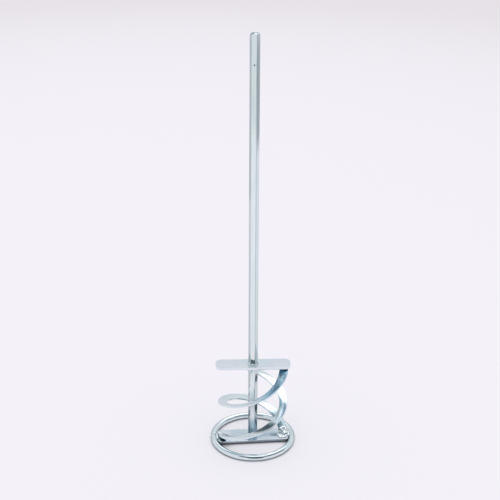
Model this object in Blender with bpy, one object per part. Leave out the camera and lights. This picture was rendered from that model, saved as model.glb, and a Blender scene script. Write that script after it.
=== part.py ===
# Mortar mixing paddle: a hexagonal drive shaft, two flat cross bars, two helical blades and a
# round-wire ring, all welded together. Units are metres, +Z runs up the shaft, and the origin is on
# the shaft's axis at the height of the floor that the ring stands on. The upper bar lies along X.
import math

import bmesh
import bpy
from mathutils import Vector

MM = 0.001
GAP = 0.3 * MM                      # left between pieces that the weld joins

# Driving dimensions
TOTAL_HEIGHT = 400 * MM
RING_OUTER_DIAMETER = 85 * MM
RING_WIRE_DIAMETER = 6 * MM
RING_JOINT_ANGLE = math.radians(178)
RING_JOINT_WIDTH = 2.4 * MM

SHAFT_ACROSS_FLATS = 8 * MM
SHAFT_CORNER_RADIUS = 0.5 * MM
SHAFT_TOP_CHAMFER = 0.9 * MM
SHAFT_FRONT_FLAT = math.radians(262.5)
MARK_BELOW_TOP = 27 * MM
MARK_RADIUS = 1.1 * MM
MARK_DEPTH = 0.45 * MM

BAR_THICKNESS = 2.5 * MM
BAR_EDGE_ROUNDING = 0.5 * MM
UPPER_BAR_TOP = 84.7 * MM
UPPER_BAR_LENGTH = 73.5 * MM
UPPER_BAR_WIDTH = 18.2 * MM
UPPER_BAR_CORNER = 6 * MM
UPPER_BAR_SWELL = 0.8 * MM
SWELL_HALF_LENGTH = 9 * MM
LOWER_BAR_TOP = 4.3 * MM
LOWER_BAR_WIDTH = 22 * MM
LOWER_BAR_CORNER = 2.5 * MM
LOWER_BAR_TURN = math.radians(3)    # the two bars were welded on a little out of line

BLADE_THICKNESS = 2 * MM
BLADE_RADIUS = 30.5 * MM            # to the middle of the strip
BLADE_EDGE_BREAK = 0.35 * MM
BLADE_END_TAPER = 0.12              # share of the turn over which the strip's tilt fades out

SHAFT_WELD_LEG = 1.8 * MM
BLADE_WELD_LEG = 2.2 * MM
RING_WELD_LEG = 1.3 * MM
RING_WELD_CROWN = 0.7 * MM
RING_WELD_HALF_SWEEP = math.radians(9)
JOINT_WELD_SINK = 0.4 * MM          # the butt weld lies this much under the wire's surface at its edges
JOINT_WELD_CROWN = 0.35 * MM

# Worked out from the driving dimensions
WIRE_RADIUS = RING_WIRE_DIAMETER / 2
RING_RADIUS = RING_OUTER_DIAMETER / 2 - WIRE_RADIUS
RING_INSIDE = RING_RADIUS - WIRE_RADIUS
SHAFT_APOTHEM = SHAFT_ACROSS_FLATS / 2
UPPER_BAR_BOTTOM = UPPER_BAR_TOP - BAR_THICKNESS
BLADE_TOP = UPPER_BAR_BOTTOM - GAP - BLADE_THICKNESS / 2
BLADE_FOOT = LOWER_BAR_TOP + GAP + BLADE_THICKNESS / 2

RING_STEPS = 60
WIRE_STEPS = 12
BLADE_STEPS = 60
COLLAR_STEPS = 36
BEAD_STEPS = 12

# Each blade winds down clockwise, seen from above, from its "start" angle under the upper bar to its
# "foot" angle on the lower bar, about one turn later. The drop is steeper at the ends than in the
# middle where "evenness" is under 1, and "bow" lifts or lowers the middle of the run.
BLADES = {
    "front_blade": {"start": math.radians(-9.3), "foot": math.radians(-364), "width": 8.4 * MM,
                    "tilt": math.radians(11), "evenness": 0.74, "bow": -0.05},
    "rear_blade": {"start": math.radians(179.1), "foot": math.radians(-178), "width": 8.2 * MM,
                   "tilt": math.radians(7), "evenness": 1.03, "bow": -0.01},
}


def clear_scene():
    for item in list(bpy.data.objects):
        bpy.data.objects.remove(item, do_unlink=True)


def metal(name, colour, roughness):
    material = bpy.data.materials.new(name)
    material.use_nodes = True
    shader = material.node_tree.nodes["Principled BSDF"]
    shader.inputs["Base Color"].default_value = (*colour, 1)
    shader.inputs["Metallic"].default_value = 1
    shader.inputs["Roughness"].default_value = roughness
    material.diffuse_color = (*colour, 1)
    return material


def polar(radius, angle, height=0.0):
    return Vector((radius * math.cos(angle), radius * math.sin(angle), height))


def add_object(name, mesh, material, parent, sharp_degrees):
    piece = bpy.data.objects.new(name, mesh)
    mesh.materials.append(material)
    mesh.shade_smooth()
    mesh.set_sharp_from_angle(angle=math.radians(sharp_degrees))
    bpy.context.collection.objects.link(piece)
    piece.parent = parent
    return piece


def loft(name, sections, joined=False):
    """Skin a row of closed sections; the row is either joined end to end or capped at both ends."""
    shape = bmesh.new()
    rows = [[shape.verts.new(point) for point in section] for section in sections]
    pairs = list(zip(rows, rows[1:]))
    if joined:
        pairs.append((rows[-1], rows[0]))
    else:
        shape.faces.new(list(reversed(rows[0])))
        shape.faces.new(rows[-1])
    for near, far in pairs:
        for index in range(len(near)):
            after = (index + 1) % len(near)
            shape.faces.new((near[index], near[after], far[after], far[index]))
    bmesh.ops.recalc_face_normals(shape, faces=shape.faces[:])
    mesh = bpy.data.meshes.new(name)
    shape.to_mesh(mesh)
    shape.free()
    return mesh


def hexagon(apothem, corner_radius, height, arc_steps=3):
    """A hexagon with rounded corners at one height, its front flat square to SHAFT_FRONT_FLAT."""
    reach = (apothem - corner_radius) / math.cos(math.radians(30))
    points = []
    for corner in range(6):
        middle = SHAFT_FRONT_FLAT + math.radians(30 + 60 * corner)
        for step in range(arc_steps + 1):
            angle = middle + math.radians(-30 + 60 * step / arc_steps)
            points.append(polar(reach, middle, height) + polar(corner_radius, angle))
    return points


def hexagon_radius(angle, apothem):
    """Distance from the axis to a sharp hexagon's side, in one direction."""
    away = (angle - SHAFT_FRONT_FLAT + math.radians(30)) % math.radians(60) - math.radians(30)
    return apothem / math.cos(away)


def make_shaft(material, parent):
    foot = LOWER_BAR_TOP + GAP
    levels = [
        (foot, 0.3 * MM),
        (foot + 0.3 * MM, 0),
        (TOTAL_HEIGHT - SHAFT_TOP_CHAMFER * 1.6, 0),
        (TOTAL_HEIGHT - SHAFT_TOP_CHAMFER * 0.5, SHAFT_TOP_CHAMFER * 0.4),
        (TOTAL_HEIGHT, SHAFT_TOP_CHAMFER),
    ]
    sections = [hexagon(SHAFT_APOTHEM - inset, SHAFT_CORNER_RADIUS, height) for height, inset in levels]
    shaft = add_object("hex_shaft", loft("hex_shaft", sections), material, parent, 25)

    # Two punched marks: one in the middle of the front flat and one on its right corner
    flat = polar(SHAFT_APOTHEM, SHAFT_FRONT_FLAT)
    corner_reach = SHAFT_APOTHEM / math.cos(math.radians(30)) - 0.2 * MM
    corner = polar(corner_reach, SHAFT_FRONT_FLAT + math.radians(30))
    for name, place in (("front_mark", flat), ("corner_mark", corner)):
        outward = place.normalized() * (MARK_RADIUS - MARK_DEPTH)
        cut_round_mark(shaft, name, place + outward, parent)
    return shaft


def cut_round_mark(shaft, name, centre, parent):
    shape = bmesh.new()
    bmesh.ops.create_icosphere(shape, subdivisions=2, radius=MARK_RADIUS)
    mesh = bpy.data.meshes.new(name)
    shape.to_mesh(mesh)
    shape.free()
    cutter = bpy.data.objects.new(name, mesh)
    bpy.context.collection.objects.link(cutter)
    cutter.location = centre + Vector((0, 0, TOTAL_HEIGHT - MARK_BELOW_TOP))
    cutter.parent = parent
    add_cut(shaft, cutter)


def add_cut(piece, cutter):
    cutter.display_type = "WIRE"
    cutter.hide_render = True
    cut = piece.modifiers.new(cutter.name, "BOOLEAN")
    cut.operation = "DIFFERENCE"
    cut.solver = "EXACT"
    cut.object = cutter


def slab(name, outline_at, low, high):
    """A flat bar whose long edges are rounded; outline_at gives its outline at an inset."""
    e = BAR_EDGE_ROUNDING
    levels = [(low, e), (low + 0.3 * e, 0.3 * e), (low + e, 0)]
    levels += [(high - e, 0), (high - 0.3 * e, 0.3 * e), (high, e)]
    sections = []
    for height, inset in levels:
        sections.append([Vector((x, y, height)) for x, y in outline_at(inset)])
    return loft(name, sections)


def upper_bar_outline(inset):
    half_length = UPPER_BAR_LENGTH / 2 - inset
    half_width = UPPER_BAR_WIDTH / 2 - inset
    radius = UPPER_BAR_CORNER - inset
    points = []
    for end in (1, -1):
        # the round corners of this end, then the long edge that leaves it
        for side in (-1, 1):
            turn = side * end
            for step in range(6):
                angle = math.radians(90 * step / 5 + (-90 if turn * end < 0 else 0))
                if end < 0:
                    angle += math.pi
                centre_x = end * (half_length - radius)
                centre_y = turn * (half_width - radius)
                points.append((centre_x + radius * math.cos(angle), centre_y + radius * math.sin(angle)))
        for step in range(9):
            x = end * SWELL_HALF_LENGTH * (1 - step / 4)
            swell = UPPER_BAR_SWELL * math.cos(math.pi / 2 * x / SWELL_HALF_LENGTH) ** 2
            points.append((x, end * (half_width + swell)))
    return points


def make_upper_bar(material, parent):
    mesh = slab("upper_cross_bar", upper_bar_outline, UPPER_BAR_BOTTOM, UPPER_BAR_TOP)
    bar = add_object("upper_cross_bar", mesh, material, parent, 40)
    hole = [hexagon(SHAFT_APOTHEM + GAP, SHAFT_CORNER_RADIUS, height)
            for height in (UPPER_BAR_BOTTOM - MM, UPPER_BAR_TOP + MM)]
    cutter = bpy.data.objects.new("shaft_hole", loft("shaft_hole", hole))
    bpy.context.collection.objects.link(cutter)
    cutter.parent = parent
    add_cut(bar, cutter)
    return bar


def lower_bar_outline(inset):
    """Straight long edges, and ends cut round to fit the inside of the ring."""
    end_radius = RING_INSIDE - GAP - inset
    half_width = LOWER_BAR_WIDTH / 2 - inset
    corner = LOWER_BAR_CORNER - inset
    # each corner's arc touches the long edge and the round end
    corner_angle = math.asin((half_width - corner) / (end_radius - corner))
    quarter = []
    for step in range(4):
        quarter.append(polar(end_radius, corner_angle * step / 4))
    centre = polar(end_radius - corner, corner_angle)
    for step in range(5):
        angle = corner_angle + (math.pi / 2 - corner_angle) * step / 4
        quarter.append(centre + polar(corner, angle))
    right = [(p.x, -p.y) for p in reversed(quarter[1:])] + [(p.x, p.y) for p in quarter]
    left = [(-x, -y) for x, y in right]
    return right + left


def blade_sections(start, foot, width, tilt, evenness, bow):
    """Cross sections of one strip, from its top end to its foot."""
    middle = (BLADE_TOP + BLADE_FOOT) / 2
    half_drop = (BLADE_TOP - BLADE_FOOT) / 2
    half = (width / 2, BLADE_THICKNESS / 2)
    sections = []
    for step in range(BLADE_STEPS + 1):
        u = 1 - 2 * step / BLADE_STEPS
        angle = start + (foot - start) * step / BLADE_STEPS
        height = middle + half_drop * (evenness * u + (1 - evenness) * u ** 3 + bow * (1 - u * u))
        fade = min(1, (1 - abs(u)) / BLADE_END_TAPER)
        lean = tilt * fade
        section = []
        for across, up in ((1, -1), (1, 1), (-1, 1), (-1, -1)):
            near_side = (across * half[0], up * (half[1] - BLADE_EDGE_BREAK))
            near_face = (across * (half[0] - BLADE_EDGE_BREAK), up * half[1])
            pair = (near_side, near_face) if across * up > 0 else (near_face, near_side)
            for out, rise in pair:
                r = BLADE_RADIUS + out * math.cos(lean) - rise * math.sin(lean)
                z = height + out * math.sin(lean) + rise * math.cos(lean)
                section.append(polar(r, angle, z))
        sections.append(section)
    return sections


def make_blade(name, material, parent):
    mesh = loft(name, blade_sections(**BLADES[name]))
    return add_object(name, mesh, material, parent, 40)


def make_ring(material, parent):
    """A hoop of round wire, open by the width of the weld that closes it."""
    half_joint = RING_JOINT_WIDTH / 2 / RING_RADIUS
    sections = []
    for step in range(RING_STEPS + 1):
        angle = RING_JOINT_ANGLE + half_joint + (2 * math.pi - 2 * half_joint) * step / RING_STEPS
        sections.append(wire_section(angle, WIRE_RADIUS))
    return add_object("bottom_ring", loft("bottom_ring", sections), material, parent, 40)


def wire_section(angle, radius, steps=WIRE_STEPS):
    section = []
    for step in range(steps):
        turn = 2 * math.pi * step / steps
        out = RING_RADIUS + radius * math.cos(turn)
        section.append(polar(out, angle, WIRE_RADIUS + radius * math.sin(turn)))
    return section


def make_ring_joint(material, parent):
    """The butt weld between the hoop's two ends: a short plug with a low crown."""
    half_width = (RING_JOINT_WIDTH / 2 - GAP) / RING_RADIUS
    sections = []
    for along in (-1, -0.5, 0.5, 1):
        crown = 0 if abs(along) == 1 else JOINT_WELD_CROWN
        radius = WIRE_RADIUS - JOINT_WELD_SINK + crown
        sections.append(wire_section(RING_JOINT_ANGLE + along * half_width, radius))
    return add_object("ring_joint_weld", loft("ring_joint_weld", sections), material, parent, 40)


def make_collar(name, seat, upward, material, parent):
    """A fillet weld round the shaft, seated on a bar's face at height seat."""
    way = 1 if upward else -1
    low = seat + way * GAP
    profile = [(0, 0), (1, 0), (1, 0.1), (0.66, 0.3), (0.36, 0.6), (0.12, 1), (0, 1)]
    sections = []
    for step in range(COLLAR_STEPS):
        angle = 2 * math.pi * step / COLLAR_STEPS
        inner = hexagon_radius(angle, SHAFT_APOTHEM + GAP)
        lump = 1 + 0.06 * math.sin(5 * angle) + 0.04 * math.sin(11 * angle + 1)
        reach = SHAFT_WELD_LEG * lump
        section = [polar(inner + reach * out, angle, low + way * reach * rise) for out, rise in profile]
        sections.append(section)
    return add_object(name, loft(name, sections, joined=True), material, parent, 50)


def make_ring_tie(name, middle_angle, material, parent):
    """A bead along the inside of the ring, on top of one end of the lower bar."""
    clear = WIRE_RADIUS + GAP
    base = LOWER_BAR_TOP + GAP
    low_turn = math.pi - math.asin((base - WIRE_RADIUS) / clear)
    high_turn = math.radians(112)
    sections = []
    for step in range(BEAD_STEPS + 1):
        along = 2 * step / BEAD_STEPS - 1
        angle = middle_angle + along * RING_WELD_HALF_SWEEP
        size = 0.35 + 0.65 * math.sqrt(1 - min(0.98, along * along)) + 0.07 * math.sin(9 * along)
        section = []
        for part in range(4):
            turn = low_turn + (high_turn - low_turn) * part / 3
            section.append((RING_RADIUS + clear * math.cos(turn), WIRE_RADIUS + clear * math.sin(turn)))
        near_ring = section[-1]
        toe = (section[0][0] - RING_WELD_LEG * size, base)
        for part in range(1, 4):
            mix = part / 4
            r = near_ring[0] + (toe[0] - near_ring[0]) * mix
            z = near_ring[1] + (toe[1] - near_ring[1]) * mix
            z += RING_WELD_CROWN * size * math.sin(math.pi * mix)
            section.append((r, z))
        section.append(toe)
        sections.append([polar(r, angle, z) for r, z in section])
    return add_object(name, loft(name, sections), material, parent, 50)


def make_end_bead(name, blade, at_top, material, parent):
    """A fillet in the corner between a blade's cut end and the bar that it is welded to."""
    end_angle = BLADES[blade]["start" if at_top else "foot"]
    width = BLADES[blade]["width"]
    way = -1 if at_top else 1
    ahead = 1 if at_top else -1
    seat = UPPER_BAR_BOTTOM - GAP if at_top else LOWER_BAR_TOP + GAP
    normal = polar(1, end_angle + ahead * math.pi / 2)
    radial = polar(1, end_angle)
    up = Vector((0, 0, way))
    profile = [(0, 0), (1, 0), (0.98, 0.3), (0.72, 0.72), (0.32, 0.94), (0, 1)]
    sections = []
    for step in range(BEAD_STEPS + 1):
        along = 2 * step / BEAD_STEPS - 1
        size = 0.4 + 0.6 * math.sqrt(1 - min(0.98, along * along)) + 0.06 * math.sin(8 * along + 1)
        leg = BLADE_WELD_LEG * size
        root = radial * (BLADE_RADIUS + along * width / 2) + normal * GAP + Vector((0, 0, seat))
        sections.append([root + (normal * out + up * rise) * leg for out, rise in profile])
    return add_object(name, loft(name, sections), material, parent, 50)


def build():
    clear_scene()
    paddle = bpy.data.objects.new("mixing_paddle", None)
    bpy.context.collection.objects.link(paddle)

    bright_zinc = metal("bright_zinc", (0.80, 0.84, 0.86), 0.22)
    bar_zinc = metal("bar_zinc", (0.76, 0.81, 0.84), 0.28)
    blade_zinc = metal("blade_zinc", (0.72, 0.80, 0.84), 0.26)
    wire_zinc = metal("wire_zinc", (0.80, 0.84, 0.85), 0.16)
    weld_metal = metal("zinc_over_weld", (0.68, 0.74, 0.77), 0.35)

    make_shaft(bright_zinc, paddle)
    make_upper_bar(bar_zinc, paddle)
    lower = slab("lower_cross_bar", lower_bar_outline, LOWER_BAR_TOP - BAR_THICKNESS, LOWER_BAR_TOP)
    bar = add_object("lower_cross_bar", lower, bar_zinc, paddle, 40)
    bar.rotation_euler.z = LOWER_BAR_TURN
    make_ring(wire_zinc, paddle)
    for blade in BLADES:
        make_blade(blade, blade_zinc, paddle)
        make_end_bead(blade + "_top_weld", blade, True, weld_metal, paddle)
        make_end_bead(blade + "_foot_weld", blade, False, weld_metal, paddle)

    make_collar("shaft_top_weld", UPPER_BAR_TOP, True, weld_metal, paddle)
    make_collar("shaft_under_weld", UPPER_BAR_BOTTOM, False, weld_metal, paddle)
    make_collar("shaft_foot_weld", LOWER_BAR_TOP, True, weld_metal, paddle)
    make_ring_tie("right_ring_weld", LOWER_BAR_TURN, weld_metal, paddle)
    make_ring_tie("left_ring_weld", math.pi + LOWER_BAR_TURN, weld_metal, paddle)
    make_ring_joint(weld_metal, paddle)


build()
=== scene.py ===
import math
import random

import bpy
from mathutils import Matrix, Vector


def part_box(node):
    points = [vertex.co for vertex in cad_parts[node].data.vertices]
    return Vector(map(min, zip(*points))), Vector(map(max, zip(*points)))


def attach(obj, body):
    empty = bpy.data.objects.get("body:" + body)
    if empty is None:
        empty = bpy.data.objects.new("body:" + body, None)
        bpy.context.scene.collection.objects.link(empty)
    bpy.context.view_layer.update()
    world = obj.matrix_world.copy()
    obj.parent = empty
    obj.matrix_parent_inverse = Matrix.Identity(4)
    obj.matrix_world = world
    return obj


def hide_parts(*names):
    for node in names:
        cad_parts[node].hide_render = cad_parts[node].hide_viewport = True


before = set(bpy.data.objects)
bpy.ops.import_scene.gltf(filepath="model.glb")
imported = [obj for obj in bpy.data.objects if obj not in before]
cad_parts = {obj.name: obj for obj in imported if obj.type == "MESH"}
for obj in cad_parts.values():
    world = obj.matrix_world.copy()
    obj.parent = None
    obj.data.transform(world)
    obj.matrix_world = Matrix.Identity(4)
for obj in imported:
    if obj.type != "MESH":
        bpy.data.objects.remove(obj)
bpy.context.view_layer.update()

mm = 0.001
scene = bpy.context.scene
print("frame loaded:", len(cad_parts), "nodes")


# Small helpers for working by hand on one piece at a time

def deselectAll():
    if bpy.context.mode != "OBJECT":
        bpy.ops.object.mode_set(mode="OBJECT")
    bpy.ops.object.select_all(action="DESELECT")


def workOn(piece):
    deselectAll()
    piece.select_set(True)
    bpy.context.view_layer.objects.active = piece


def newPiece(name):
    # the primitive that was just added, with its place put into its mesh
    piece = bpy.context.object
    piece.name = name
    piece.data.name = name
    workOn(piece)
    bpy.ops.object.transform_apply(location=True, rotation=True, scale=True)
    return piece


def clearSelection(kind):
    bpy.ops.object.mode_set(mode="EDIT")
    bpy.ops.mesh.select_mode(type=kind)
    bpy.ops.mesh.select_all(action="DESELECT")
    bpy.ops.object.mode_set(mode="OBJECT")


def pickPoints(piece, test):
    clearSelection("VERT")
    for point in piece.data.vertices:
        point.select = test(point.co)
    bpy.ops.object.mode_set(mode="EDIT")


def pickEdges(piece, test):
    clearSelection("EDGE")
    points = piece.data.vertices
    for edge in piece.data.edges:
        edge.select = test(points[edge.vertices[0]].co, points[edge.vertices[1]].co)
    bpy.ops.object.mode_set(mode="EDIT")


def pickFaces(piece, test):
    clearSelection("FACE")
    for face in piece.data.polygons:
        face.select = test(face.center, face.normal)
    bpy.ops.object.mode_set(mode="EDIT")


def applyModifier(piece, kind, **settings):
    workOn(piece)
    modifier = piece.modifiers.new(kind.lower(), kind)
    for key, value in settings.items():
        setattr(modifier, key, value)
    bpy.ops.object.modifier_apply(modifier=modifier.name)


def cutWith(piece, cutter, operation="DIFFERENCE"):
    applyModifier(piece, "BOOLEAN", operation=operation, solver="EXACT", object=cutter)
    bpy.data.objects.remove(cutter)


def roundEdges(piece, width, segments, degrees=40):
    applyModifier(piece, "BEVEL", width=width, segments=segments, limit_method="ANGLE",
                  angle_limit=math.radians(degrees), miter_outer="MITER_ARC")


def smoothPiece(piece, degrees=35):
    workOn(piece)
    bpy.ops.object.shade_smooth_by_angle(angle=math.radians(degrees))


def supportFlats(piece, width):
    # a thin rim inside each big flat face keeps its shading flat up to the rounded edge
    pickFaces(piece, lambda middle, normal: abs(normal.z) > 0.999)
    bpy.ops.mesh.inset(thickness=width, depth=0)
    bpy.ops.object.mode_set(mode="OBJECT")


def finishPiece(piece, slotName, material, *nodes):
    piece.data.materials.clear()
    piece.data.materials.append(material)
    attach(piece, "root")
    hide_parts(*nodes)
    print("made", piece.name, len(piece.data.polygons), "faces")


def polar(radius, angle, height=0.0):
    return Vector((radius * math.cos(angle), radius * math.sin(angle), height))


# Zinc plate. What all finishes share comes first, and each finish then has a dictionary of its
# own: its tints, how glossy it is, the size and direction of its grain, and its patches of
# painted shade and painted reflection. All patterns are in metres on the piece itself.

plating = {
    # how fine each noise is, and an offset so that no two of them line up
    "cloudDetail": 3, "cloudOffset": 0.31,
    "streakDetail": 4, "streakOffset": 0.87,
    "speckleDetail": 6, "speckleOffset": 1.91,
    "waveDetail": 1, "waveOffset": 2.3,
    "driftY": 0.7, "driftZ": 1.3,       # the offset along Y and Z, as shares of the one along X
    # where on its noise a streak, a dark spot and a dull spot begin and end
    "streakFrom": 0.3, "streakTo": 0.7,
    "spots": [(0.30, (0.80, 0.82, 0.84)), (0.46, (1, 1, 1))],
    "dullFrom": 0.45, "dullTo": 0.75,
    "waveHeight": 0.5 * mm, "streakHeight": 0.05 * mm, "speckleHeight": 0.03 * mm,
    # how pointed an edge has to be, from not bright to fully bright
    "edgeFrom": 0.505, "edgeTo": 0.56, "edgeColour": (0.93, 0.95, 0.96),
    # where the painted blue reflection begins and is full, along X and up Z
    "blueSide": (2 * mm, 16 * mm), "blueHeight": (30 * mm, 45 * mm),
    "blues": [(0.35, (0.42, 0.66, 0.82)), (0.65, (0.56, 0.76, 0.88))],
    # how far out a patch of painted shade ends, in reaches, and how much the clouds pull its rim in
    "stainRim": 1.25, "shadeRagged": 0.5,
}


def addNode(tree, kind, **settings):
    node = tree.nodes.new(kind)
    for key, value in settings.items():
        setattr(node, key, value)
    return node


def addNoise(tree, where, scale, detail, stretch, offset):
    place = addNode(tree, "ShaderNodeMapping")
    place.inputs["Scale"].default_value = stretch
    drift = (offset, offset * plating["driftY"], offset * plating["driftZ"])
    place.inputs["Location"].default_value = drift
    noise = addNode(tree, "ShaderNodeTexNoise")
    noise.inputs["Scale"].default_value = scale
    noise.inputs["Detail"].default_value = detail
    tree.links.new(where.outputs["Object"], place.inputs["Vector"])
    tree.links.new(place.outputs["Vector"], noise.inputs["Vector"])
    return noise.outputs["Fac"]


def addRamp(tree, source, stops):
    ramp = addNode(tree, "ShaderNodeValToRGB")
    ramp.color_ramp.interpolation = "EASE"
    while len(ramp.color_ramp.elements) < len(stops):
        ramp.color_ramp.elements.new(0.5)
    for element, (place, colour) in zip(ramp.color_ramp.elements, stops):
        element.position = place
        element.color = (*colour, 1)
    tree.links.new(source, ramp.inputs["Fac"])
    return ramp.outputs["Color"]


def addMix(tree, factor, first, second, blend="MIX"):
    mix = addNode(tree, "ShaderNodeMix", data_type="RGBA", blend_type=blend)
    for socket, value in ((mix.inputs[0], factor), (mix.inputs[6], first), (mix.inputs[7], second)):
        if isinstance(value, bpy.types.NodeSocket):
            tree.links.new(value, socket)
        elif isinstance(value, (int, float)):
            socket.default_value = value
        else:
            socket.default_value = (*value, 1)
    return mix.outputs[2]


def addRange(tree, source, low, high, toLow, toHigh):
    spread = addNode(tree, "ShaderNodeMapRange", interpolation_type="SMOOTHSTEP")
    for place, value in zip((1, 2, 3, 4), (low, high, toLow, toHigh)):
        spread.inputs[place].default_value = value
    tree.links.new(source, spread.inputs[0])
    return spread.outputs[0]


def addBump(tree, height, strength, distance, under=None):
    bump = addNode(tree, "ShaderNodeBump")
    bump.inputs["Strength"].default_value = strength
    bump.inputs["Distance"].default_value = distance
    tree.links.new(height, bump.inputs["Height"])
    if under:
        tree.links.new(under, bump.inputs["Normal"])
    return bump.outputs["Normal"]


def addPaintedShade(tree, where, colour, stain, clouds):
    # a soft patch of painted shade and painted reflection that darkens the colour, made ragged by the
    # clouds
    offset = addNode(tree, "ShaderNodeVectorMath", operation="SUBTRACT")
    tree.links.new(where.outputs["Object"], offset.inputs[0])
    offset.inputs[1].default_value = stain["place"]
    scaled = addNode(tree, "ShaderNodeVectorMath", operation="DIVIDE")
    tree.links.new(offset.outputs[0], scaled.inputs[0])
    scaled.inputs[1].default_value = stain["reach"]
    far = addNode(tree, "ShaderNodeVectorMath", operation="LENGTH")
    tree.links.new(scaled.outputs[0], far.inputs[0])
    ragged = addNode(tree, "ShaderNodeMath", operation="MULTIPLY_ADD")
    tree.links.new(clouds, ragged.inputs[0])
    ragged.inputs[1].default_value = plating["shadeRagged"]
    tree.links.new(far.outputs["Value"], ragged.inputs[2])
    rim = plating["stainRim"]
    amount = addRange(tree, ragged.outputs[0], rim, rim - stain["soft"], 0, 1)
    return addMix(tree, amount, colour, stain["colour"], "MULTIPLY")


def addPaintedBlue(tree, where, colour, clouds, deepest):
    # painted reflection: the plating's blue is laid on deeper high up on one side of the blade
    place = addNode(tree, "ShaderNodeSeparateXYZ")
    tree.links.new(where.outputs["Object"], place.inputs[0])
    aside = addRange(tree, place.outputs["X"], *plating["blueSide"], 0, deepest)
    high = addRange(tree, place.outputs["Z"], *plating["blueHeight"], 0, 1)
    amount = addNode(tree, "ShaderNodeMath", operation="MULTIPLY")
    tree.links.new(aside, amount.inputs[0])
    tree.links.new(high, amount.inputs[1])
    blue = addRamp(tree, clouds, plating["blues"])
    return addMix(tree, amount.outputs[0], colour, blue)


def makeZinc(name, look):
    material = bpy.data.materials.new(name)
    material.use_nodes = True
    tree = material.node_tree
    shader = tree.nodes["Principled BSDF"]
    shader.inputs["Metallic"].default_value = 1
    shader.inputs["Specular Tint"].default_value = (*look["grazing"], 1)
    where = addNode(tree, "ShaderNodeTexCoord")

    # broad clouds of the passivation's colour, then streaks along the grain
    clouds = addNoise(tree, where, look["cloudScale"], plating["cloudDetail"],
                      look["cloudStretch"], plating["cloudOffset"])
    streaks = addNoise(tree, where, look["grainScale"], plating["streakDetail"],
                       look["grainStretch"], plating["streakOffset"])
    speckle = addNoise(tree, where, look["speckleScale"], plating["speckleDetail"],
                       (1, 1, 1), plating["speckleOffset"])
    streakFrom, streakTo = plating["streakFrom"], plating["streakTo"]
    tint = addRamp(tree, clouds, look["tints"])
    streaked = addRamp(tree, streaks, [(streakFrom, look["streakDark"]), (streakTo, (1, 1, 1))])
    colour = addMix(tree, look["streakAmount"], tint, streaked, "MULTIPLY")
    spots = addRamp(tree, speckle, plating["spots"])
    colour = addMix(tree, look["spotAmount"], colour, spots, "MULTIPLY")
    # painted blue reflection high up on one side of the blade
    if look["paintedBlueAmount"] > 0:
        colour = addPaintedBlue(tree, where, colour, clouds, look["paintedBlueAmount"])
    # painted shade and painted reflection, laid on as soft dark patches
    for stain in look["paintedShade"]:
        colour = addPaintedShade(tree, where, colour, stain, clouds)

    # the plate is thicker and brighter along outer edges
    geometry = addNode(tree, "ShaderNodeNewGeometry")
    edges = addRange(tree, geometry.outputs["Pointiness"], plating["edgeFrom"], plating["edgeTo"],
                     0, look["edgeAmount"])
    colour = addMix(tree, edges, colour, plating["edgeColour"])
    tree.links.new(colour, shader.inputs["Base Color"])

    # the grain's streaks and speckle make the gloss uneven
    smoothest, roughest, speckled = look["gloss"]
    rough = addRange(tree, streaks, streakFrom, streakTo, smoothest, roughest)
    dull = addRange(tree, speckle, plating["dullFrom"], plating["dullTo"], 0, speckled)
    total = addNode(tree, "ShaderNodeMath", operation="ADD")
    tree.links.new(rough, total.inputs[0])
    tree.links.new(dull, total.inputs[1])
    tree.links.new(total.outputs[0], shader.inputs["Roughness"])

    waves = addNoise(tree, where, look["waveScale"], plating["waveDetail"],
                     look["waveStretch"], plating["waveOffset"])
    normal = addBump(tree, waves, look["waveBump"], plating["waveHeight"])
    normal = addBump(tree, streaks, look["grainBump"], plating["streakHeight"], normal)
    normal = addBump(tree, speckle, look["speckleBump"], plating["speckleHeight"], normal)
    tree.links.new(normal, shader.inputs["Normal"])
    return material


greyZinc = (0.50, 0.57, 0.60)
plainZinc = (0.78, 0.85, 0.88)
deepBlue = (0.62, 0.77, 0.86)
paleBlue = (0.71, 0.82, 0.89)
paleGreen = (0.77, 0.87, 0.86)
paleLilac = (0.76, 0.81, 0.88)
paleStraw = (0.83, 0.89, 0.87)
brightZinc = (0.84, 0.90, 0.93)
whiteZinc = (0.94, 0.96, 0.97)

shaftLook = {
    "tints": [(0.32, plainZinc), (0.42, paleStraw), (0.50, brightZinc), (0.60, paleGreen),
              (0.72, paleStraw)],
    "cloudScale": 40, "cloudStretch": (3.0, 3.0, 0.4),
    "grainScale": 1500, "grainStretch": (1, 1, 0.010), "streakDark": (0.85, 0.91, 0.92),
    "streakAmount": 0.6, "grainBump": 0.20,
    "speckleScale": 2600, "spotAmount": 0.15, "speckleBump": 0.08,
    "waveScale": 260, "waveStretch": (1, 1, 0.12), "waveBump": 0.08,
    "edgeAmount": 0.2, "paintedBlueAmount": 0,
    "grazing": (0.40, 0.43, 0.44), "gloss": (0.10, 0.16, 0.06),
    "paintedShade": [
        # painted shade and painted reflection: the shaft is darker and bluer low down, near the lower
        # bar
        {"place": (0, 0, 10 * mm), "reach": (30 * mm, 30 * mm, 17 * mm), "soft": 0.4,
         "colour": (0.40, 0.56, 0.64)},
        # painted shade inside the two punch marks, darker in the one on the flat
        {"place": (-0.5 * mm, -3.7 * mm, 373 * mm), "reach": (0.9 * mm, 0.9 * mm, 0.9 * mm),
         "soft": 0.6, "colour": (0.18, 0.22, 0.25)},
        {"place": (1.8 * mm, -4 * mm, 373 * mm), "reach": (0.9 * mm, 0.9 * mm, 0.9 * mm),
         "soft": 0.6, "colour": (0.45, 0.50, 0.54)},
        # painted dark reflection along one corner of the shaft
        {"place": (1.7 * mm, -4.1 * mm, 200 * mm), "reach": (0.7 * mm, 0.7 * mm, 500 * mm), "soft": 0.6,
         "colour": (0.60, 0.66, 0.70)},
    ],
}
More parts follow.
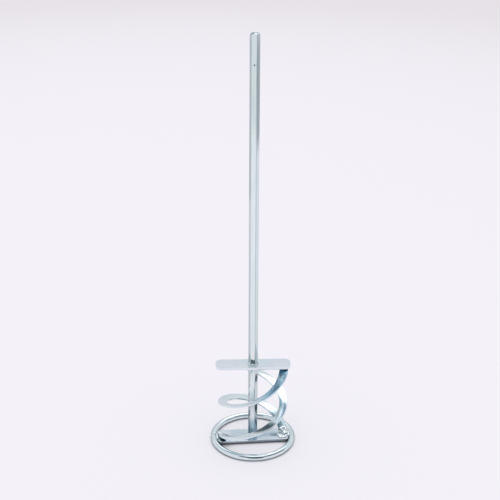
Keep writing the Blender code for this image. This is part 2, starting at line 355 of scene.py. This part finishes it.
barLook = {
    "tints": [(0.34, paleGreen), (0.44, paleBlue), (0.52, paleLilac), (0.62, plainZinc),
              (0.72, paleLilac)],
    "cloudScale": 22, "cloudStretch": (1, 1.3, 1),
    "grainScale": 900, "grainStretch": (0.03, 1, 1), "streakDark": (0.93, 0.95, 0.96),
    "streakAmount": 0.5, "grainBump": 0.08,
    "speckleScale": 2200, "spotAmount": 0.15, "speckleBump": 0.12,
    "waveScale": 90, "waveStretch": (0.5, 1, 1), "waveBump": 0.03,
    "edgeAmount": 0.3, "paintedBlueAmount": 0,
    "grazing": (1, 1, 1), "gloss": (0.08, 0.13, 0.06),
    "paintedShade": [
        # painted shade and painted dark blue reflection on the upper bar, right of the shaft
        {"place": (24 * mm, -3 * mm, 81.5 * mm), "reach": (18 * mm, 9 * mm, 2.6 * mm), "soft": 0.5,
         "colour": (0.34, 0.48, 0.58)},
    ],
}
lowBarLook = {                          # painted shade: the lower bar is darker along its foot
    **barLook,
    "paintedShade": [
        # painted shade along the lower bar's foot and front face
        {"place": (0, 0, 0), "reach": (120 * mm, 120 * mm, 4.6 * mm), "soft": 0.3,
         "colour": (0.18, 0.22, 0.26)},
    ],
}
bladeLook = {
    "tints": [(0.28, deepBlue), (0.42, paleBlue), (0.54, plainZinc), (0.66, paleGreen),
              (0.8, paleBlue)],
    "cloudScale": 40, "cloudStretch": (1, 1, 1.4),
    "grainScale": 420, "grainStretch": (1, 1, 1), "streakDark": (0.88, 0.93, 0.96),
    "streakAmount": 0.5, "grainBump": 0.08,
    "speckleScale": 2400, "spotAmount": 0.15, "speckleBump": 0.10,
    "waveScale": 150, "waveStretch": (1, 1, 1), "waveBump": 0.05,
    "edgeAmount": 0.3, "paintedBlueAmount": 0,
    "grazing": (0.8, 0.82, 0.84), "gloss": (0.07, 0.14, 0.06),
    "paintedShade": [
        # painted dark reflection on the rear blade, low down at the front
        {"place": (10 * mm, -27.5 * mm, 27 * mm), "reach": (15 * mm, 8 * mm, 12 * mm), "soft": 0.6,
         "colour": (0.04, 0.08, 0.10)},
    ],
}
blueBladeLook = {                       # painted blue reflection and painted shade on the front blade
    **bladeLook, "paintedBlueAmount": 1,
    "paintedShade": [
        # painted shade on the front blade, low down towards its foot
        {"place": (27 * mm, 10 * mm, 11 * mm), "reach": (16 * mm, 18 * mm, 14 * mm), "soft": 0.4,
         "colour": (0.34, 0.42, 0.45)},
        # painted shade on the front blade just under the upper bar
        {"place": (30 * mm, -8 * mm, 79 * mm), "reach": (14 * mm, 18 * mm, 20 * mm), "soft": 0.8,
         "colour": (0.38, 0.50, 0.58)},
    ],
}
wireLook = {
    "tints": [(0.30, paleGreen), (0.45, plainZinc), (0.55, brightZinc), (0.68, paleBlue),
              (0.8, plainZinc)],
    "cloudScale": 50, "cloudStretch": (1, 1, 1),
    "grainScale": 600, "grainStretch": (1, 1, 2.2), "streakDark": (0.88, 0.92, 0.94),
    "streakAmount": 0.4, "grainBump": 0.05,
    "speckleScale": 2000, "spotAmount": 0.15, "speckleBump": 0.08,
    "waveScale": 200, "waveStretch": (1, 1, 1), "waveBump": 0.03,
    "edgeAmount": 0.2, "paintedBlueAmount": 0,
    "grazing": (0.30, 0.34, 0.36), "gloss": (0.06, 0.11, 0.05),
    "paintedShade": [
        # painted dark reflection along the upper front of the ring
        {"place": (2 * mm, -42.2 * mm, 4.4 * mm), "reach": (14 * mm, 1.8 * mm, 1.1 * mm), "soft": 0.5,
         "colour": (0.30, 0.36, 0.38)},
    ],
}
weldLook = {
    "tints": [(0.34, greyZinc), (0.42, brightZinc), (0.54, whiteZinc), (0.66, paleBlue),
              (0.8, whiteZinc)],
    "cloudScale": 420, "cloudStretch": (1, 1, 1),
    "grainScale": 1200, "grainStretch": (1, 1, 1), "streakDark": (0.70, 0.75, 0.77),
    "streakAmount": 0.6, "grainBump": 0.30,
    "speckleScale": 3200, "spotAmount": 0.4, "speckleBump": 0.25,
    "waveScale": 500, "waveStretch": (1, 1, 1), "waveBump": 0.12,
    "edgeAmount": 0.4, "paintedBlueAmount": 0,
    "grazing": (0.3, 0.33, 0.35), "gloss": (0.05, 0.14, 0.06),
    "paintedShade": [],
}

shaftZinc = makeZinc("shaftZinc", shaftLook)
barZinc = makeZinc("barZinc", barLook)
lowBarZinc = makeZinc("lowBarZinc", lowBarLook)
bladeZinc = makeZinc("bladeZinc", bladeLook)
blueBladeZinc = makeZinc("blueBladeZinc", blueBladeLook)
wireZinc = makeZinc("wireZinc", wireLook)
weldZinc = makeZinc("weldZinc", weldLook)
print("zinc finishes made")


# Hexagonal shaft, with a turned chamfer at its top and two punched marks

shaft = {
    "acrossFlats": 8 * mm,
    "cornerRadius": 0.5 * mm, "cornerSegments": 4,
    "frontFlat": math.radians(262.5),
    "chamferFlat": 3.1 * mm,            # radius of the flat that the chamfer leaves
    "turnedShare": 0.6,                 # radius of the turned end, as a share of the flats
    "turnedSides": 96,
    "footInset": 0.3 * mm, "footSegments": 2,
    "markRadius": 1.1 * mm, "markSides": 32,
    "markDepth": 0.45 * mm,
    "markBelowTop": 27 * mm,
    "cornerMarkIn": 0.2 * mm,           # the mark on the corner is this much further in
    "smoothAngle": 25,
}
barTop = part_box("upper_cross_bar")[1].z
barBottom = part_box("upper_cross_bar")[0].z
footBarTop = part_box("lower_cross_bar")[1].z
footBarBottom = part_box("lower_cross_bar")[0].z
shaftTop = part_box("hex_shaft")[1].z
sixth = math.radians(60)


def addHexagon(apothem, low, high, name):
    # Blender's six-sided cylinder has a flat at 240 degrees
    deselectAll()
    bpy.ops.mesh.primitive_cylinder_add(
        vertices=6, radius=apothem / math.cos(sixth / 2), depth=high - low,
        location=(0, 0, (low + high) / 2), rotation=(0, 0, shaft["frontFlat"] - 4 * sixth))
    piece = newPiece(name)
    pickEdges(piece, lambda a, b: abs(a.z - b.z) > 0.5 * (high - low))
    bpy.ops.mesh.bevel(offset=shaft["cornerRadius"] * math.tan(sixth / 2),
                       segments=shaft["cornerSegments"])
    bpy.ops.object.mode_set(mode="OBJECT")
    return piece


def addTurnedEnd(low, high):
    # a round bar with a 45 degree chamfer, as the lathe leaves it
    radius = shaft["acrossFlats"] * shaft["turnedShare"]
    deselectAll()
    bpy.ops.mesh.primitive_cylinder_add(vertices=shaft["turnedSides"], radius=radius,
                                        depth=high - low, location=(0, 0, (low + high) / 2))
    turned = newPiece("turnedEnd")
    pickEdges(turned, lambda a, b: a.z > high - mm and b.z > high - mm)
    bpy.ops.mesh.bevel(offset=radius - shaft["chamferFlat"], segments=1)
    bpy.ops.object.mode_set(mode="OBJECT")
    return turned


def addMark(place):
    deselectAll()
    bpy.ops.mesh.primitive_uv_sphere_add(
        segments=shaft["markSides"], ring_count=shaft["markSides"] // 2,
        radius=shaft["markRadius"], location=place)
    return newPiece("punchMark")


def makeShaft():
    half = shaft["acrossFlats"] / 2
    piece = addHexagon(half, footBarTop, shaftTop, "hexShaft")
    pickEdges(piece, lambda a, b: a.z < footBarTop + mm and b.z < footBarTop + mm)
    bpy.ops.mesh.bevel(offset=shaft["footInset"], segments=shaft["footSegments"])
    bpy.ops.object.mode_set(mode="OBJECT")
    cutWith(piece, addTurnedEnd(footBarTop - mm, shaftTop), "INTERSECT")
    lift = shaft["markRadius"] - shaft["markDepth"]
    height = shaftTop - shaft["markBelowTop"]
    corner = half / math.cos(sixth / 2) - shaft["cornerMarkIn"]
    cutWith(piece, addMark(polar(half + lift, shaft["frontFlat"], height)))
    cutWith(piece, addMark(polar(corner + lift, shaft["frontFlat"] + sixth / 2, height)))
    smoothPiece(piece, shaft["smoothAngle"])
    finishPiece(piece, "shaft_zinc", shaftZinc, "hex_shaft")


makeShaft()


# The two flat bars

upperBar = {"corner": 6 * mm, "cornerSegments": 10, "sideCuts": 60, "swell": 0.8 * mm,
            "swellReach": 9 * mm, "swellPick": 0.6 * mm, "holePlay": 0.1 * mm,
            "edge": 0.5 * mm, "edgeSegments": 4, "rim": 0.2 * mm}
lowerBar = {"corner": 2.5 * mm, "cornerSegments": 6, "endCuts": 15, "turn": math.radians(3),
            "halfWidth": 11 * mm, "ringGap": 0.15 * mm,
            "edge": 0.5 * mm, "edgeSegments": 4, "rim": 0.2 * mm}


def makeUpperBar():
    low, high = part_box("upper_cross_bar")
    length = high.x - low.x
    width = high.y - low.y - 2 * upperBar["swell"]
    deselectAll()
    bpy.ops.mesh.primitive_plane_add(size=1, location=(0, 0, low.z))
    piece = bpy.context.object
    piece.scale = (length, width, 1)
    piece = newPiece("upperCrossBar")
    bpy.ops.object.mode_set(mode="EDIT")
    bpy.ops.mesh.select_mode(type="VERT")
    bpy.ops.mesh.select_all(action="SELECT")
    bpy.ops.mesh.bevel(offset=upperBar["corner"], segments=upperBar["cornerSegments"],
                       affect="VERTICES")
    # the hole pushed the long edges out a little
    pickEdges(piece, lambda a, b: abs(a.x - b.x) > length / 2)
    bpy.ops.mesh.subdivide(number_cuts=upperBar["sideCuts"])
    for side in (-1, 1):
        pickPoints(piece, lambda co: abs(co.x) < upperBar["swellPick"] and co.y * side > 0)
        bpy.ops.transform.translate(
            value=(0, side * upperBar["swell"], 0), use_proportional_edit=True,
            proportional_edit_falloff="SMOOTH", proportional_size=upperBar["swellReach"],
            use_proportional_connected=False)
    bpy.ops.mesh.select_all(action="SELECT")
    bpy.ops.mesh.extrude_region_move(TRANSFORM_OT_translate={"value": (0, 0, high.z - low.z)})
    bpy.ops.mesh.select_all(action="SELECT")
    bpy.ops.mesh.normals_make_consistent(inside=False)
    bpy.ops.object.mode_set(mode="OBJECT")
    holeReach = shaft["acrossFlats"] / 2 + upperBar["holePlay"]
    cutWith(piece, addHexagon(holeReach, low.z - mm, high.z + mm, "shaftHole"))
    roundEdges(piece, upperBar["edge"], upperBar["edgeSegments"])
    supportFlats(piece, upperBar["rim"])
    smoothPiece(piece)
    finishPiece(piece, "bar_zinc", barZinc, "upper_cross_bar")


def makeLowerBar():
    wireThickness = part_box("bottom_ring")[1].z
    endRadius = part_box("bottom_ring")[1].x - wireThickness - lowerBar["ringGap"]
    halfWidth = lowerBar["halfWidth"]
    halfLength = math.sqrt(endRadius ** 2 - halfWidth ** 2)
    deselectAll()
    bpy.ops.mesh.primitive_plane_add(size=2, location=(0, 0, footBarBottom))
    piece = bpy.context.object
    piece.scale = (halfLength, halfWidth, 1)
    piece = newPiece("lowerCrossBar")
    bpy.ops.object.mode_set(mode="EDIT")
    bpy.ops.mesh.select_mode(type="VERT")
    bpy.ops.mesh.select_all(action="SELECT")
    bpy.ops.mesh.bevel(offset=lowerBar["corner"], segments=lowerBar["cornerSegments"],
                       affect="VERTICES")
    pickEdges(piece, lambda a, b: abs(a.y - b.y) > halfWidth)
    bpy.ops.mesh.subdivide(number_cuts=lowerBar["endCuts"])
    bpy.ops.object.mode_set(mode="OBJECT")
    # both ends are cut round to fit the inside of the ring
    for point in piece.data.vertices:
        bulge = math.sqrt(endRadius ** 2 - point.co.y ** 2) - halfLength
        point.co.x += math.copysign(bulge, point.co.x)
    bpy.ops.object.mode_set(mode="EDIT")
    bpy.ops.mesh.select_all(action="SELECT")
    thickness = footBarTop - footBarBottom
    bpy.ops.mesh.extrude_region_move(TRANSFORM_OT_translate={"value": (0, 0, thickness)})
    bpy.ops.mesh.select_all(action="SELECT")
    bpy.ops.mesh.normals_make_consistent(inside=False)
    bpy.ops.object.mode_set(mode="OBJECT")
    piece.rotation_euler.z = lowerBar["turn"]
    bpy.ops.object.transform_apply(rotation=True)
    roundEdges(piece, lowerBar["edge"], lowerBar["edgeSegments"])
    supportFlats(piece, lowerBar["rim"])
    smoothPiece(piece)
    finishPiece(piece, "bar_zinc", lowBarZinc, "lower_cross_bar")


makeUpperBar()
makeLowerBar()


# The ring: round wire bent into a hoop and butted at one end of the lower bar

ring = {"jointAngle": math.radians(178), "jointWidth": 1.2 * mm, "steps": 180, "wireSides": 28,
        "endEdge": 0.4 * mm, "endSegments": 2, "endSharper": 60}
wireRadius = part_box("bottom_ring")[1].z / 2
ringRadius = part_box("bottom_ring")[1].x - wireRadius


def makeRing():
    halfJoint = ring["jointWidth"] / 2 / ringRadius
    first = ring["jointAngle"] + halfJoint
    deselectAll()
    bpy.ops.mesh.primitive_circle_add(
        vertices=ring["wireSides"], radius=wireRadius, fill_type="NGON",
        location=polar(ringRadius, first, wireRadius), rotation=(math.radians(90), 0, first))
    piece = newPiece("bottomRing")
    bpy.ops.object.mode_set(mode="EDIT")
    bpy.ops.mesh.select_all(action="SELECT")
    bpy.ops.mesh.spin(steps=ring["steps"], angle=2 * (math.pi - halfJoint), center=(0, 0, 0),
                      axis=(0, 0, 1))
    bpy.ops.mesh.select_all(action="SELECT")
    bpy.ops.mesh.normals_make_consistent(inside=False)
    bpy.ops.object.mode_set(mode="OBJECT")
    roundEdges(piece, ring["endEdge"], ring["endSegments"], ring["endSharper"])
    smoothPiece(piece)
    finishPiece(piece, "wire_zinc", wireZinc, "bottom_ring")


makeRing()


# The two helical blades. A cross section is drawn out step by step: turned round the shaft,
# lowered, and leaned so that the outer edge rises. The lean fades out at both ends.

blade = {"radius": 30.5 * mm, "thickness": 2 * mm, "steps": 120, "endTaper": 0.12, "gap": 0.3 * mm,
         "edge": 0.35 * mm, "edgeSegments": 3, "edgeSharper": 50}
# Only edges sharper than so many degrees are rounded. Evenness under 1 makes the middle of the
# turn flatter than its ends, and a bow under 0 lets it hang.
blades = {
    "frontBlade": {"node": "front_blade", "zinc": blueBladeZinc, "width": 8.4 * mm,
                   "start": math.radians(-9.3), "foot": math.radians(-364),
                   "tilt": math.radians(11), "evenness": 0.74, "bow": -0.05},
    "rearBlade": {"node": "rear_blade", "zinc": bladeZinc, "width": 8.2 * mm,
                  "start": math.radians(179.1), "foot": math.radians(-178),
                  "tilt": math.radians(7), "evenness": 1.03, "bow": -0.01},
}


def bladePlace(size, share):
    # angle, height and lean at a share of the way down
    top = barBottom - blade["gap"] - blade["thickness"] / 2
    foot = footBarTop + blade["gap"] + blade["thickness"] / 2
    u = 1 - 2 * share
    rise = size["evenness"] * u + (1 - size["evenness"]) * u ** 3 + size["bow"] * (1 - u * u)
    angle = size["start"] + (size["foot"] - size["start"]) * share
    lean = size["tilt"] * min(1, (1 - abs(u)) / blade["endTaper"])
    return angle, (top + foot) / 2 + (top - foot) / 2 * rise, lean


def turnSelected(angle, axis, centre):
    # transform.rotate turns the other way when Blender has no window
    bpy.ops.transform.rotate(value=-angle, orient_axis=axis, center_override=centre)


def makeBlade(name):
    size = blades[name]
    angle, height, lean = bladePlace(size, 0)
    deselectAll()
    bpy.ops.mesh.primitive_plane_add(size=1, location=(0, 0, 0))
    piece = bpy.context.object
    piece.scale = (size["width"], blade["thickness"], 1)
    piece = newPiece(name)
    piece.location = polar(blade["radius"], angle, height)
    piece.rotation_euler = (math.radians(90), 0, angle)
    bpy.ops.object.transform_apply(location=True, rotation=True, scale=True)
    bpy.ops.object.mode_set(mode="EDIT")
    bpy.ops.mesh.select_mode(type="FACE")
    bpy.ops.mesh.select_all(action="SELECT")
    for step in range(1, blade["steps"] + 1):
        nextAngle, nextHeight, nextLean = bladePlace(size, step / blade["steps"])
        fall = nextHeight - height
        bpy.ops.mesh.extrude_region_move(TRANSFORM_OT_translate={"value": (0, 0, fall)})
        # leaned while it lies along X, then turned on to its new angle
        turnSelected(-angle, "Z", (0, 0, 0))
        if nextLean != lean:
            turnSelected(lean - nextLean, "Y", (blade["radius"], 0, nextHeight))
        turnSelected(nextAngle, "Z", (0, 0, 0))
        angle, height, lean = nextAngle, nextHeight, nextLean
    bpy.ops.mesh.select_all(action="SELECT")
    bpy.ops.mesh.normals_make_consistent(inside=False)
    bpy.ops.object.mode_set(mode="OBJECT")
    roundEdges(piece, blade["edge"], blade["edgeSegments"], blade["edgeSharper"])
    smoothPiece(piece)
    finishPiece(piece, "blade_zinc", size["zinc"], size["node"])


for name in blades:
    makeBlade(name)


# Weld beads. Each bead is a row of overlapping drops of metal that have run together. Luck varies
# a size within the range given here, as a share of that size.

bead = {"dropDetail": 3, "smoothFactor": 0.5, "smoothing": 20}


def makeBead(name, drops, voxel, node, smoothing=bead["smoothing"]):
    deselectAll()
    made = []
    for place, radius, flat in drops:
        bpy.ops.mesh.primitive_ico_sphere_add(subdivisions=bead["dropDetail"], radius=radius,
                                              location=place)
        bpy.context.object.scale.z = flat
        made.append(bpy.context.object)
    deselectAll()
    for drop in made:
        drop.select_set(True)
    bpy.context.view_layer.objects.active = made[0]
    bpy.ops.object.join()
    piece = newPiece(name)
    applyModifier(piece, "REMESH", mode="VOXEL", voxel_size=voxel, adaptivity=0)
    applyModifier(piece, "SMOOTH", factor=bead["smoothFactor"], iterations=smoothing)
    smoothPiece(piece, 180)
    finishPiece(piece, "weld_zinc", weldZinc, node)


collar = {"drops": 26, "radius": 1.25 * mm, "radiusLuck": (0.8, 1.15), "stepLuck": 0.2,
          "out": -0.05 * mm, "up": 0.1 * mm, "voxel": 0.16 * mm}


def hexagonReach(angle, apothem):
    away = (angle - shaft["frontFlat"] + sixth / 2) % sixth - sixth / 2
    return apothem / math.cos(away)


def makeCollar(name, seat, way, node, seed):
    luck = random.Random(seed)
    drops = []
    for step in range(collar["drops"]):
        angle = 2 * math.pi * (step + collar["stepLuck"] * luck.random()) / collar["drops"]
        radius = collar["radius"] * luck.uniform(*collar["radiusLuck"])
        reach = hexagonReach(angle, shaft["acrossFlats"] / 2) + collar["out"]
        drops.append((polar(reach, angle, seat + way * collar["up"]), radius, 1.0))
    makeBead(name, drops, collar["voxel"], node)


makeCollar("shaftTopWeld", barTop, 1, "shaft_top_weld", 11)
makeCollar("shaftUnderWeld", barBottom, -1, "shaft_under_weld", 12)
makeCollar("shaftFootWeld", footBarTop, 1, "shaft_foot_weld", 13)

tie = {"halfSweep": math.radians(9), "drops": 15, "radius": 1.45 * mm, "radiusLuck": (0.85, 1.2),
       "endShare": 0.55, "middleMore": 0.45, "flat": 0.9,
       "inside": 0.3 * mm, "insideLuck": (0.6, 1.4), "above": 0.25 * mm, "voxel": 0.18 * mm}


def makeRingTie(name, middleAngle, node, seed):
    luck = random.Random(seed)
    drops = []
    for step in range(tie["drops"]):
        along = 2 * step / (tie["drops"] - 1) - 1
        size = tie["endShare"] + tie["middleMore"] * math.sqrt(1 - along * along)
        size *= luck.uniform(*tie["radiusLuck"])
        reach = ringRadius - wireRadius - tie["inside"] * luck.uniform(*tie["insideLuck"])
        angle = middleAngle + along * tie["halfSweep"]
        place = polar(reach, angle, footBarTop + tie["above"] * size)
        drops.append((place, tie["radius"] * size, tie["flat"]))
    makeBead(name, drops, tie["voxel"], node)


makeRingTie("rightRingWeld", lowerBar["turn"], "right_ring_weld", 21)
makeRingTie("leftRingWeld", lowerBar["turn"] + math.pi, "left_ring_weld", 22)

endBead = {"drops": 10, "radius": 1.45 * mm, "radiusLuck": (0.85, 1.15),
           "endShare": 0.6, "middleMore": 0.4, "flat": 0.9, "halfWidth": 0.46,
           "ahead": 0.5 * mm, "aheadLuck": (0.7, 1.3), "off": 0.3 * mm,
           "voxel": 0.22 * mm, "smoothing": 9}
# Metal that ran out over the bar in front of the joint, and metal that crept up the strip. Across
# is in strip widths, climb a share of the strip's length, and lift a share of its thickness.
runOut = {"radius": 1.9 * mm, "radiusLuck": (0.7, 1.3), "flat": 0.6, "across": (-0.45, 0.5),
          "reach": 4.5 * mm}
creep = {"radius": 1.9 * mm, "radiusLuck": (0.5, 1.1), "flat": 0.6, "across": (-0.5, 0.42),
         "climb": 0.035, "lift": 0.3}
endBeads = {
    "frontBladeTopWeld": {"node": "front_blade_top_weld", "blade": "frontBlade", "atTop": True,
                          "runs": 3, "creeps": 0, "seed": 31},
    "frontBladeFootWeld": {"node": "front_blade_foot_weld", "blade": "frontBlade", "atTop": False,
                           "runs": 14, "creeps": 14, "seed": 32},
    "rearBladeTopWeld": {"node": "rear_blade_top_weld", "blade": "rearBlade", "atTop": True,
                         "runs": 3, "creeps": 0, "seed": 33},
    "rearBladeFootWeld": {"node": "rear_blade_foot_weld", "blade": "rearBlade", "atTop": False,
                          "runs": 5, "creeps": 3, "seed": 34},
}


def makeEndBead(name):
    this = endBeads[name]
    luck = random.Random(this["seed"])
    strip = blades[this["blade"]]
    angle = strip["start"] if this["atTop"] else strip["foot"]
    ahead = 1 if this["atTop"] else -1
    seat = barBottom - endBead["off"] if this["atTop"] else footBarTop + endBead["off"]
    forward = polar(1, angle + ahead * math.radians(90))
    drops = []
    for step in range(endBead["drops"]):
        along = 2 * step / (endBead["drops"] - 1) - 1
        size = endBead["endShare"] + endBead["middleMore"] * math.sqrt(1 - along * along)
        size *= luck.uniform(*endBead["radiusLuck"])
        across = along * endBead["halfWidth"] * strip["width"]
        place = polar(blade["radius"] + across, angle, seat)
        place += forward * endBead["ahead"] * luck.uniform(*endBead["aheadLuck"])
        drops.append((place, endBead["radius"] * size, endBead["flat"]))
    for _ in range(this["runs"]):
        across = luck.uniform(*runOut["across"]) * strip["width"]
        place = polar(blade["radius"] + across, angle, seat)
        place += forward * runOut["reach"] * luck.random()
        drops.append((place, runOut["radius"] * luck.uniform(*runOut["radiusLuck"]), runOut["flat"]))
    for _ in range(this["creeps"]):
        spot = bladePlace(strip, 1 - creep["climb"] * luck.random())
        across = luck.uniform(*creep["across"]) * strip["width"]
        place = polar(blade["radius"] + across, spot[0], spot[1] + creep["lift"] * blade["thickness"])
        drops.append((place, creep["radius"] * luck.uniform(*creep["radiusLuck"]), creep["flat"]))
    makeBead(name, drops, endBead["voxel"], this["node"], endBead["smoothing"])


for name in endBeads:
    makeEndBead(name)

ringJoint = {"drops": 16, "radius": 0.95 * mm, "radiusLuck": (0.9, 1.1), "crown": 0.1 * mm,
             "sunk": 0.2 * mm, "proud": 0.2 * mm, "voxel": 0.16 * mm, "seed": 41}


def makeRingJoint():
    # dressed flush below and outside, proud by a little inside and on top
    luck = random.Random(ringJoint["seed"])
    drops = []
    for step in range(ringJoint["drops"]):
        turn = 2 * math.pi * step / ringJoint["drops"]
        radius = ringJoint["radius"] * luck.uniform(*ringJoint["radiusLuck"])
        proud = ringJoint["crown"] + ringJoint["proud"] * max(0, -math.cos(turn), math.sin(turn))
        out = wireRadius - radius - ringJoint["sunk"] + proud
        place = polar(ringRadius + out * math.cos(turn), ring["jointAngle"],
                      wireRadius + out * math.sin(turn))
        drops.append((place, radius, 1.0))
    makeBead("ringJointWeld", drops, ringJoint["voxel"], "ring_joint_weld")


makeRingJoint()


# Floor, light and camera

studio = {
    "floorSize": 30.0,
    "floorPaint": (0.44, 0.43, 0.455), "floorRoughness": 0.9,
    "floorGlow": (0.47, 0.462, 0.487),     # the light table's own light
    "farGlow": (0.36, 0.34, 0.355),
    "glowShift": (0.5, 0.2, 0), "glowStretch": (2.2, 1, 1), "glowFull": 0.8, "glowFaded": 9.0,
    "gapReach": 12 * mm, "gapDark": 0.15, "gapLit": 0.75,
    "sky": (0.99, 0.98, 1.0),              # lights the floor
    "farRoom": (0.84, 0.80, 0.84),         # seen past the floor's edge
    "roomInMetal": (0.80, 0.82, 0.84),     # mirrored by the metal, with the patches below
    "boardHeight": 4 * mm,
}
# What the bright metal sees of the room above the floor: which way, how far from there the
# colour is full and where it has faded out (degrees), and the colour.
patches = [
    {"azimuth": 90, "height": 68, "full": 24, "faded": 32, "colour": (1.7, 1.7, 1.7)},
    {"azimuth": 290, "height": 72, "full": 10, "faded": 20, "colour": (1.1, 1.1, 1.1)},
    {"azimuth": 195, "height": 66, "full": 12, "faded": 22, "colour": (0.46, 0.56, 0.61)},
    {"azimuth": 158, "height": 60, "full": 13, "faded": 20, "colour": (0.24, 0.38, 0.46)},
    {"azimuth": 135, "height": 45, "full": 6, "faded": 14, "colour": (0.42, 0.48, 0.51)},
    {"azimuth": 250, "height": 36, "full": 14, "faded": 21, "colour": (0.08, 0.12, 0.13)},
    {"azimuth": 282, "height": 28, "full": 12, "faded": 20, "colour": (0.10, 0.14, 0.15)},
    {"azimuth": 318, "height": 36, "full": 14, "faded": 22, "colour": (0.11, 0.16, 0.18)},
    {"azimuth": 350, "height": 36, "full": 12, "faded": 20, "colour": (0.12, 0.17, 0.19)},
]
# Boards lying round the table (degrees and metres), which only show in the metal
boards = [
    {"azimuth": 320, "near": 1.7, "far": 11, "width": 2.4, "colour": (0.07, 0.10, 0.11)},
    {"azimuth": 12, "near": 1.1, "far": 4.5, "width": 1.3, "colour": (0.42, 0.44, 0.47)},
    {"azimuth": 135, "near": 0.7, "far": 4.5, "width": 1.4, "colour": (0.66, 0.68, 0.71)},
    {"azimuth": 258, "near": 1.2, "far": 4.5, "width": 1.6, "colour": (0.76, 0.79, 0.80)},
]


def makeFloor():
    deselectAll()
    bpy.ops.mesh.primitive_plane_add(size=studio["floorSize"], location=(0, 0, 0))
    floor = bpy.context.object
    floor.name = "floor"
    material = bpy.data.materials.new("paleFloor")
    material.use_nodes = True
    tree = material.node_tree
    shader = tree.nodes["Principled BSDF"]
    where = addNode(tree, "ShaderNodeTexCoord")
    away = addNode(tree, "ShaderNodeVectorMath", operation="LENGTH")
    place = addNode(tree, "ShaderNodeMapping")
    place.inputs["Location"].default_value = studio["glowShift"]
    place.inputs["Scale"].default_value = studio["glowStretch"]
    tree.links.new(where.outputs["Object"], place.inputs["Vector"])
    tree.links.new(place.outputs["Vector"], away.inputs[0])
    fade = addRange(tree, away.outputs["Value"], studio["glowFull"], studio["glowFaded"], 0, 1)
    glow = addMix(tree, fade, studio["floorGlow"], studio["farGlow"])
    # painted shadow: ambient occlusion darkens the glow in the narrow gaps right under the paddle
    shadowOcclusion = addNode(tree, "ShaderNodeAmbientOcclusion")
    shadowOcclusion.inputs["Distance"].default_value = studio["gapReach"]
    lit = addRange(tree, shadowOcclusion.outputs["AO"], studio["gapDark"], studio["gapLit"], 0, 1)
    glow = addMix(tree, lit, (0, 0, 0), glow)
    tree.links.new(glow, shader.inputs["Emission Color"])
    shader.inputs["Emission Strength"].default_value = 1
    shader.inputs["Base Color"].default_value = (*studio["floorPaint"], 1)
    shader.inputs["Roughness"].default_value = studio["floorRoughness"]
    shader.inputs["Specular IOR Level"].default_value = 0.0
    floor.data.materials.append(material)


def makeBoard(number, board):
    deselectAll()
    length = board["far"] - board["near"]
    angle = math.radians(board["azimuth"])
    place = polar(board["near"] + length / 2, angle, studio["boardHeight"])
    bpy.ops.mesh.primitive_plane_add(size=1, location=place, rotation=(0, 0, angle))
    piece = bpy.context.object
    piece.name = f"board{number}"
    piece.scale = (length, board["width"], 1)
    material = bpy.data.materials.new(f"boardPaint{number}")
    material.use_nodes = True
    shader = material.node_tree.nodes["Principled BSDF"]
    shader.inputs["Base Color"].default_value = (0, 0, 0, 1)
    shader.inputs["Specular IOR Level"].default_value = 0.0
    shader.inputs["Emission Color"].default_value = (*board["colour"], 1)
    shader.inputs["Emission Strength"].default_value = 1
    piece.data.materials.append(material)
    piece.visible_camera = False
    piece.visible_diffuse = False
    piece.visible_shadow = False


def direction(azimuth, height):
    flat = math.cos(math.radians(height))
    return polar(flat, math.radians(azimuth), math.sin(math.radians(height)))


def makeWorld():
    world = bpy.data.worlds.new("studio")
    scene.world = world
    world.use_nodes = True
    tree = world.node_tree
    where = addNode(tree, "ShaderNodeTexCoord")
    colour = studio["roomInMetal"]
    for patch in patches:
        dot = addNode(tree, "ShaderNodeVectorMath", operation="DOT_PRODUCT")
        dot.inputs[1].default_value = direction(patch["azimuth"], patch["height"])
        tree.links.new(where.outputs["Generated"], dot.inputs[0])
        faded = math.cos(math.radians(patch["faded"]))
        full = math.cos(math.radians(patch["full"]))
        amount = addRange(tree, dot.outputs["Value"], faded, full, 0, 1)
        colour = addMix(tree, amount, colour, patch["colour"])
    # only the metal sees the patches; the floor is lit by an even sky
    path = addNode(tree, "ShaderNodeLightPath")
    plain = addMix(tree, path.outputs["Is Camera Ray"], studio["sky"], studio["farRoom"])
    seen = addMix(tree, path.outputs["Is Glossy Ray"], plain, colour)
    tree.links.new(seen, tree.nodes["Background"].inputs["Color"])


view = {
    "place": (-0.03673, -0.73179, 0.46472),
    "aim": (-0.003494, 0.000159, 0.202733),
    "roll": math.radians(0.252),
    "lens": 60, "sensor": 36,
    "clipStart": 10 * mm, "clipEnd": 100,
}


def makeCamera():
    camera = bpy.data.objects.new("camera", bpy.data.cameras.new("camera"))
    scene.collection.objects.link(camera)
    camera.data.lens = view["lens"]
    camera.data.sensor_width = view["sensor"]
    camera.data.clip_start = view["clipStart"]
    camera.data.clip_end = view["clipEnd"]
    look = Vector(view["aim"]) - Vector(view["place"])
    turn = look.to_track_quat("-Z", "Y").to_matrix().to_4x4()
    roll = Matrix.Rotation(view["roll"], 4, "Z")
    camera.matrix_world = Matrix.Translation(view["place"]) @ turn @ roll
    scene.camera = camera


makeFloor()
for number, board in enumerate(boards):
    makeBoard(number, board)
makeWorld()
makeCamera()
scene.view_settings.view_transform = "Standard"
scene.view_settings.look = "None"
print("floor, light and camera set")
